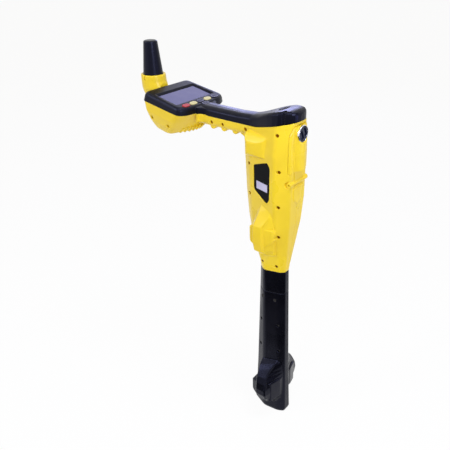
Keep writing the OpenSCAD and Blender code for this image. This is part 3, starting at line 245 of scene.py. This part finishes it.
# Finish of each material slot
MATERIALS = {
    # Yellow mouldings, with orange-brown shade painted into their inner corners.
    "body": plastic(
        "yellow_moulding", YELLOW, YELLOW_DEEP, YELLOW_RUBBED, roughness=0.30,
        specular=0.40, wear=0.12, dust=0.02, corners=YELLOW_PAINTED_SHADE,
    ),
    "cover": plastic(
        "black_cover", BLACK, BLACK_PALE, BLACK_RUBBED, roughness=0.30,
        grain=1500.0, depth=0.16, specular=0.20, dust=0.01, tint=LAVENDER_GLOSS,
    ),
    "foot": plastic(
        "black_foot", BLACK, BLACK_PALE, BLACK_RUBBED, roughness=0.30,
        grain=1700.0, depth=0.14, specular=0.20, dust=0.01, tint=LAVENDER_GLOSS,
    ),
    "window": plastic(
        "display_glass", SCREEN_LAVENDER, SCREEN_LAVENDER_DEEP, (0.2, 0.2, 0.3), roughness=0.10,
        depth=0.01, wear=0.0, dust=0.02,
    ),
    "lcd": plastic(
        "display_module", (0.10, 0.09, 0.2), (0.08, 0.07, 0.17), (0.2, 0.2, 0.3), roughness=0.3, wear=0.0,
    ),
    "board": plastic(
        "solder_mask", (0.01, 0.10, 0.035), (0.015, 0.14, 0.05), (0.1, 0.3, 0.1), roughness=0.4,
    ),
    "steel": metal("dark_screw_steel", (0.080, 0.075, 0.070), (0.055, 0.050, 0.048), roughness=0.42),
    "chrome": metal("bright_chrome", (0.86, 0.86, 0.90), (0.80, 0.80, 0.85), roughness=0.09, depth=0.02),
    "knob": plastic(
        "knob_plastic", (0.004, 0.006, 0.020), (0.006, 0.009, 0.028), (0.06, 0.06, 0.08), roughness=0.16,
        specular=0.4, dust=0.0, tint=LAVENDER_GLOSS,
    ),
    "key_red": plastic(
        "red_key", (0.44, 0.030, 0.040), (0.38, 0.024, 0.033), (0.6, 0.2, 0.2), roughness=0.38,
        wear=0.3, dust=0.03,
    ),
    "key_cream": plastic(
        "cream_key", (0.62, 0.57, 0.30), (0.58, 0.52, 0.26), (0.8, 0.76, 0.5), roughness=0.40,
        specular=0.3, wear=0.3, dust=0.03,
    ),
    "key_dark": plastic(
        "dark_key", (0.014, 0.014, 0.026), (0.018, 0.018, 0.032), (0.10, 0.10, 0.14), roughness=0.34,
        specular=0.2, dust=0.02, tint=LAVENDER_GLOSS,
    ),
    "inner_dark": plastic(
        "inner_black", (0.006, 0.006, 0.007), (0.010, 0.010, 0.010), (0.02, 0.02, 0.02), roughness=0.6,
        specular=0.1, dust=0.02,
    ),
    "rubber": plastic(
        "black_rubber", (0.008, 0.008, 0.010), (0.012, 0.012, 0.014), (0.03, 0.03, 0.035), roughness=0.6,
        grain=900.0, depth=0.3, specular=0.15, dust=0.04,
    ),
    "label": plastic(
        "label_film", (0.002, 0.002, 0.003), (0.003, 0.003, 0.004), (0.02, 0.02, 0.02), roughness=0.30,
        depth=0.03, specular=0.05, dust=0.0, wear=0.0,
    ),
    "pack": plastic(
        "pack_casing", (0.04, 0.045, 0.055), (0.06, 0.065, 0.08), (0.12, 0.12, 0.14), roughness=0.5,
    ),
    "former": plastic(
        "coil_former", (0.62, 0.54, 0.34), (0.55, 0.47, 0.28), (0.8, 0.7, 0.5), roughness=0.55,
    ),
    "brass": metal("contact_brass", (0.70, 0.48, 0.14), (0.58, 0.38, 0.10), roughness=0.28),
    "ferrite": plastic(
        "ferrite_rod", (0.05, 0.05, 0.055), (0.07, 0.07, 0.075), (0.12, 0.12, 0.12), roughness=0.6,
    ),
    "copper": metal(
        "enamelled_copper", (0.60, 0.20, 0.06), (0.45, 0.13, 0.03), roughness=0.3, streak=2600.0, depth=0.4,
    ),
}
# Screw heads: their orange-brown colour is painted light, the warm bounce light and shade of the yellow
# recesses they sit in.
SCREW_STEEL_PAINTED_BOUNCE = metal("screw_steel_painted_bounce", (0.34, 0.13, 0.012), (0.24, 0.085, 0.008), roughness=0.5)
# Door seal coloured amber so that the shaded gap round the door shows yellow, not dark: painted light in the
# gap.
DOOR_GAP_PAINTED_LIGHT = plastic(
    "door_seal_painted_gap_light", (0.42, 0.25, 0.02), (0.36, 0.20, 0.015), (0.5, 0.3, 0.05), roughness=0.55,
    specular=0.1, wear=0.0, dust=0.0,
)
PALE_LINE = plastic(
    "pale_line", (0.36, 0.35, 0.52), (0.32, 0.31, 0.47), (0.5, 0.5, 0.6), roughness=0.4,
    depth=0.03, wear=0.0, dust=0.02,
)
BLANK_PANEL = plastic(
    "blank_panel", (0.56, 0.53, 0.72), (0.46, 0.43, 0.62), (0.7, 0.7, 0.7), roughness=0.4,
    depth=0.03, wear=0.0, dust=0.02,
)

# Nodes whose finish differs from the rest of their slot
NODE_FINISH = {
    "shell_screws": SCREW_STEEL_PAINTED_BOUNCE,
    "handle_screws": SCREW_STEEL_PAINTED_BOUNCE,
    "door_seal": DOOR_GAP_PAINTED_LIGHT,
    "door_hinge_pin": MATERIALS["inner_dark"],
}

SLOT_OF = {row["node"]: row["material_slot"] for row in frame["record"]["subparts"]}
BODY_OF = {
    node: body for body, nodes in frame["record"]["behaviour"]["bodies"].items() for node in nodes
}


def finish_cad_nodes():
    """Every CAD node gets its slot's finish, also those that a moulding replaces."""
    for node, made in frame["nodes"].items():
        finish = NODE_FINISH.get(node, MATERIALS[SLOT_OF[node]])
        if not made.material_slots:
            made.data.materials.append(finish)
        for place in made.material_slots:
            place.material = finish


def settle(piece, node):
    """Hides a CAD node and puts the piece that takes its place on the node's body."""
    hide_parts(node)
    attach(piece, BODY_OF[node])


JOIN_DISTANCE = 0.001 * MM
RELAX_FACTOR = 0.5


def moulding(node, voxel_mm, passes, keep):
    """Soft-edged copy of a CAD node: an even grid of faces, relaxed, then thinned out."""
    mesh = frame["nodes"][node].data.copy()
    piece = bpy.data.objects.new(node + "_moulding", mesh)
    scene.collection.objects.link(piece)
    shape = bmesh.new()
    shape.from_mesh(mesh)
    bmesh.ops.remove_doubles(shape, verts=shape.verts, dist=JOIN_DISTANCE)
    shape.to_mesh(mesh)
    shape.free()
    grid = piece.modifiers.new("grid", "REMESH")
    grid.mode = "VOXEL"
    grid.voxel_size = voxel_mm * MM * 1.0
    relax = piece.modifiers.new("relax", "SMOOTH")
    relax.factor = RELAX_FACTOR
    relax.iterations = passes
    thin = piece.modifiers.new("thin", "DECIMATE")
    thin.ratio = min(1.0, keep * (1.0))
    ready = piece.evaluated_get(bpy.context.evaluated_depsgraph_get())
    made = bpy.data.meshes.new_from_object(ready)
    piece.modifiers.clear()
    piece.data = made
    made.materials.clear()
    made.materials.append(MATERIALS[SLOT_OF[node]])
    made.polygons.foreach_set("use_smooth", [True] * len(made.polygons))
    settle(piece, node)


DARK_KEYS = ("left_key", "right_key", "menu_key")
KEYS = ("power_key", "select_key", "gain_key", *DARK_KEYS)
KEY_MOULDING = (0.25, 5, 0.4)

# Voxel in millimetres, relaxing passes and share of faces kept
MOULDINGS = {
    "left_body_shell": (0.6, 5, 0.12),
    "right_body_shell": (0.6, 5, 0.12),
    "top_cover": (0.5, 5, 0.12),
    "battery_door": (0.45, 5, 0.2),
    "sleeve": (0.8, 5, 0.15),
    "left_foot_shell": (0.65, 6, 0.12),
    "right_foot_shell": (0.75, 6, 0.12),
    "antenna_radome": (0.6, 5, 0.25),
    "sole_pad": (0.5, 4, 0.3),
    "lock_ring": (0.22, 4, 0.4),
    "lock_knob": (0.25, 4, 0.4),
    **{key: KEY_MOULDING for key in KEYS},
}


def add_piece(name, points, faces, finish, body):
    """Small surface piece on a body, from points in metres."""
    mesh = bpy.data.meshes.new(name)
    mesh.from_pydata([tuple(p) for p in points], [], faces)
    shape = bmesh.new()
    shape.from_mesh(mesh)
    bmesh.ops.recalc_face_normals(shape, faces=shape.faces)
    shape.to_mesh(mesh)
    shape.free()
    mesh.materials.append(finish)
    piece = bpy.data.objects.new(name, mesh)
    scene.collection.objects.link(piece)
    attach(piece, body)


# Display panel's own directions: forward along it, to the left, and out of it
PANEL_TILT = math.radians(10.5)
PANEL_U = Vector((math.cos(PANEL_TILT), 0.0, math.sin(PANEL_TILT)))
PANEL_V = Vector((0.0, 1.0, 0.0))
PANEL_N = Vector((-math.sin(PANEL_TILT), 0.0, math.cos(PANEL_TILT)))


def span(node, axis):
    """Least and greatest reach of a CAD node along an axis."""
    made = frame["nodes"][node]
    reach = [(made.matrix_world @ vertex.co).dot(axis) for vertex in made.data.vertices]
    return min(reach), max(reach)


def pill_loop(half_length, radius, steps=12):
    """Outline with round ends, long along v, as pairs (u, v)."""
    loop = []
    for end in (1, -1):
        for i in range(steps + 1):
            angle = math.pi * i / steps
            loop.append((end * radius * math.cos(angle), end * (half_length + radius * math.sin(angle))))
    return loop


# Line on a dark key: distance from the key's rim, width, and its root and top from the cap
LINE_RIM = 1.6 * MM
LINE_W = 0.55 * MM
LINE_ROOT = -0.10 * MM
LINE_TOP = 0.05 * MM


def key_outline(node):
    """Thin pale line round a dark key's cap."""
    (u0, u1), (v0, v1) = span(node, PANEL_U), span(node, PANEL_V)
    cap = span(node, PANEL_N)[1]
    radius = (u1 - u0) / 2 - LINE_RIM
    half_length = (v1 - v0) / 2 - LINE_RIM - radius
    section = ((0.0, LINE_ROOT), (0.0, LINE_TOP), (LINE_W, LINE_TOP), (LINE_W, LINE_ROOT))
    points = []
    for inset, height in section:
        for u, v in pill_loop(half_length, radius - inset):
            on_cap = PANEL_U * ((u0 + u1) / 2 + u) + PANEL_V * ((v0 + v1) / 2 + v)
            points.append(on_cap + PANEL_N * (cap + height))
    count = len(points) // len(section)
    faces = []
    for ring in range(len(section)):
        a, b = ring * count, (ring + 1) % len(section) * count
        faces += [(a + i, a + (i + 1) % count, b + (i + 1) % count, b + i) for i in range(count)]
    add_piece(node + "_line", points, faces, PALE_LINE, BODY_OF[node])


# Label plate: its turn from the mast's length and its middle, and the blank field's sides from that middle
LABEL_YAW = math.radians(14.15)
LABEL_X, LABEL_Y, LABEL_Z = 0.015, 0.02999, 0.524
FIELD_SIDE = 14.0 * MM
FIELD_LOW = -16.5 * MM
FIELD_HIGH = -2.5 * MM
FIELD_ROOT = -0.2 * MM
FIELD_TOP = 0.06 * MM


def label_blank():
    """Blank pale field on the label plate."""
    along = Vector((math.cos(LABEL_YAW), -math.sin(LABEL_YAW), 0.0))
    out = Vector((math.sin(LABEL_YAW), math.cos(LABEL_YAW), 0.0))
    middle_along = LABEL_X * math.cos(LABEL_YAW) - LABEL_Y * math.sin(LABEL_YAW)
    base = Vector((0.0, 0.0, LABEL_Z)) + along * middle_along
    plate = span("label_plate", out)[1]
    corners = (
        (-FIELD_SIDE, FIELD_LOW), (FIELD_SIDE, FIELD_LOW), (FIELD_SIDE, FIELD_HIGH), (-FIELD_SIDE, FIELD_HIGH)
    )
    points = []
    for depth in (FIELD_ROOT, FIELD_TOP):
        for u, w in corners:
            points.append(base + along * u + Vector((0.0, 0.0, w)) + out * (plate + depth))
    faces = [(0, 1, 2, 3), (7, 6, 5, 4), (0, 4, 5, 1), (1, 5, 6, 2), (2, 6, 7, 3), (3, 7, 4, 0)]
    add_piece("label_blank", points, faces, BLANK_PANEL, BODY_OF["label_plate"])


# Studio: floor, dark card, world, lamps and camera
FLOOR_HALF = 30.0
FLOOR_GREY = (0.86, 0.86, 0.86, 1.0)
WHITE = (1.0, 1.0, 1.0, 1.0)
# Share of white where the floor is seen directly: the rest keeps the shadow
FLOOR_WHITE_SHARE = 0.94
FILL_TONE = (1.0, 0.92, 0.80, 1.0)
FILL_STRENGTH = 0.34

# Card: directions over the floor, from the object to the camera and across, then its reach in metres
TO_CAMERA = Vector((-0.588, 0.809, 0.0))
ACROSS = Vector((0.809, 0.588, 0.0))
CARD_NEAR = 0.15
CARD_FAR = 1.5
CARD_HALF = 1.2
CARD_LIFT = Vector((0.0, 0.0, 0.004))
CARD_TONE = (0.01, 0.01, 0.012, 1.0)


def seen_directly(tree):
    """1 where the camera, a reflection or a clear piece sees the surface, else 0."""
    path = tree.nodes.new("ShaderNodeLightPath")
    mirrored = math_node(tree, "MAXIMUM", path.outputs["Is Glossy Ray"], path.outputs["Is Transmission Ray"])
    return math_node(tree, "MAXIMUM", path.outputs["Is Camera Ray"], mirrored)


def mix_shaders(tree, share, first, second, output):
    """Feeds an output node from two shaders, with a share of the second."""
    both = tree.nodes.new("ShaderNodeMixShader")
    link(tree, share, both.inputs["Fac"])
    link(tree, first, both.inputs[1])
    link(tree, second, both.inputs[2])
    link(tree, both.outputs["Shader"], tree.nodes.new(output).inputs["Surface"])


def make_floor():
    mesh = bpy.data.meshes.new("floor")
    corners = [(x * FLOOR_HALF, y * FLOOR_HALF, 0.0) for x, y in ((-1, -1), (1, -1), (1, 1), (-1, 1))]
    mesh.from_pydata(corners, [], [(0, 1, 2, 3)])
    floor = bpy.data.objects.new("floor", mesh)
    scene.collection.objects.link(floor)
    made = bpy.data.materials.new("pale_floor")
    made.use_nodes = True
    tree = made.node_tree
    tree.nodes.clear()
    matte = tree.nodes.new("ShaderNodeBsdfDiffuse")
    matte.inputs["Color"].default_value = FLOOR_GREY
    white = tree.nodes.new("ShaderNodeEmission")
    white.inputs["Color"].default_value = WHITE
    share = math_node(tree, "MULTIPLY", seen_directly(tree), FLOOR_WHITE_SHARE)
    mix_shaders(tree, share, matte.outputs["BSDF"], white.outputs["Emission"], "ShaderNodeOutputMaterial")
    mesh.materials.append(made)


def make_dark_card():
    """Dark card on the floor towards the camera, out of the picture, seen only in reflections."""
    corners = [
        TO_CAMERA * reach + ACROSS * side + CARD_LIFT
        for reach, side in (
            (CARD_NEAR, -CARD_HALF), (CARD_FAR, -CARD_HALF), (CARD_FAR, CARD_HALF), (CARD_NEAR, CARD_HALF)
        )
    ]
    mesh = bpy.data.meshes.new("dark_card")
    mesh.from_pydata([tuple(c) for c in corners], [], [(0, 1, 2, 3)])
    card = bpy.data.objects.new("dark_card", mesh)
    scene.collection.objects.link(card)
    made, tree, shader = new_material("dark_card")
    shader.inputs["Base Color"].default_value = CARD_TONE
    shader.inputs["Specular IOR Level"].default_value = 0.0
    mesh.materials.append(made)
    card.visible_camera = False
    card.visible_diffuse = False
    card.visible_shadow = False


def make_world():
    world = bpy.data.worlds.new("studio")
    scene.world = world
    world.use_nodes = True
    tree = world.node_tree
    tree.nodes.clear()
    fill = tree.nodes.new("ShaderNodeBackground")
    fill.inputs["Color"].default_value = FILL_TONE
    fill.inputs["Strength"].default_value = FILL_STRENGTH
    white = tree.nodes.new("ShaderNodeBackground")
    white.inputs["Color"].default_value = WHITE
    white.inputs["Strength"].default_value = 1.0
    share = seen_directly(tree)
    mix_shaders(tree, share, fill.outputs["Background"], white.outputs["Background"], "ShaderNodeOutputWorld")


COOL = (0.88, 0.92, 1.0)
VIOLET = (0.46, 0.49, 1.0)
LAMP_AIM = Vector((0.06, 0.0, 0.42))

# Name, place, diameter, power and colour
LAMPS = (
    ("rear_lamp", (-1.45, 0.75, 1.05), 0.55, 13.5, COOL),
    ("low_rear_lamp", (-1.60, -0.25, 0.30), 0.5, 3.0, VIOLET),
    ("left_lamp", (1.05, 1.50, 1.35), 0.7, 12.5, COOL),
    ("key_lamp", (-0.30, 1.40, 1.95), 0.7, 9.0, COOL),
    ("top_lamp", (-0.55, 0.05, 2.3), 0.8, 19.0, COOL),
    ("far_lamp", (1.42, -1.87, 1.21), 0.6, 6.0, VIOLET),
)


def make_lamp(name, place, size, power, colour):
    lamp = bpy.data.lights.new(name, "AREA")
    lamp.shape = "DISK"
    lamp.size = size
    lamp.energy = power
    lamp.color = colour
    made = bpy.data.objects.new(name, lamp)
    made.visible_camera = False
    made.location = place
    made.rotation_euler = (LAMP_AIM - Vector(place)).to_track_quat("-Z", "Y").to_euler()
    scene.collection.objects.link(made)


def make_camera():
    image_px = 450
    focal_px = 557
    axis_px = 264
    heading = math.radians(-54.0)
    pitch = math.radians(28.5)
    lens = bpy.data.cameras.new("camera")
    lens.sensor_width = 36.0
    lens.lens = lens.sensor_width * focal_px / image_px
    lens.shift_x = (image_px / 2 - axis_px) / image_px
    lens.clip_start = 0.01
    level = math.cos(pitch)
    view = Vector((math.cos(heading) * level, math.sin(heading) * level, -math.sin(pitch)))
    camera = bpy.data.objects.new("camera", lens)
    camera.location = (-0.4878, 0.7151, 0.903)
    camera.rotation_euler = view.to_track_quat("-Z", "Y").to_euler()
    scene.collection.objects.link(camera)
    scene.camera = camera


make_camera()
make_floor()
make_world()
for lamp in LAMPS:
    make_lamp(*lamp)
make_dark_card()
scene.view_settings.view_transform = "Standard"

finish_cad_nodes()
for node, (voxel_mm, passes, keep) in MOULDINGS.items():
    moulding(node, voxel_mm, passes, keep)
for node in DARK_KEYS:
    key_outline(node)
label_blank()
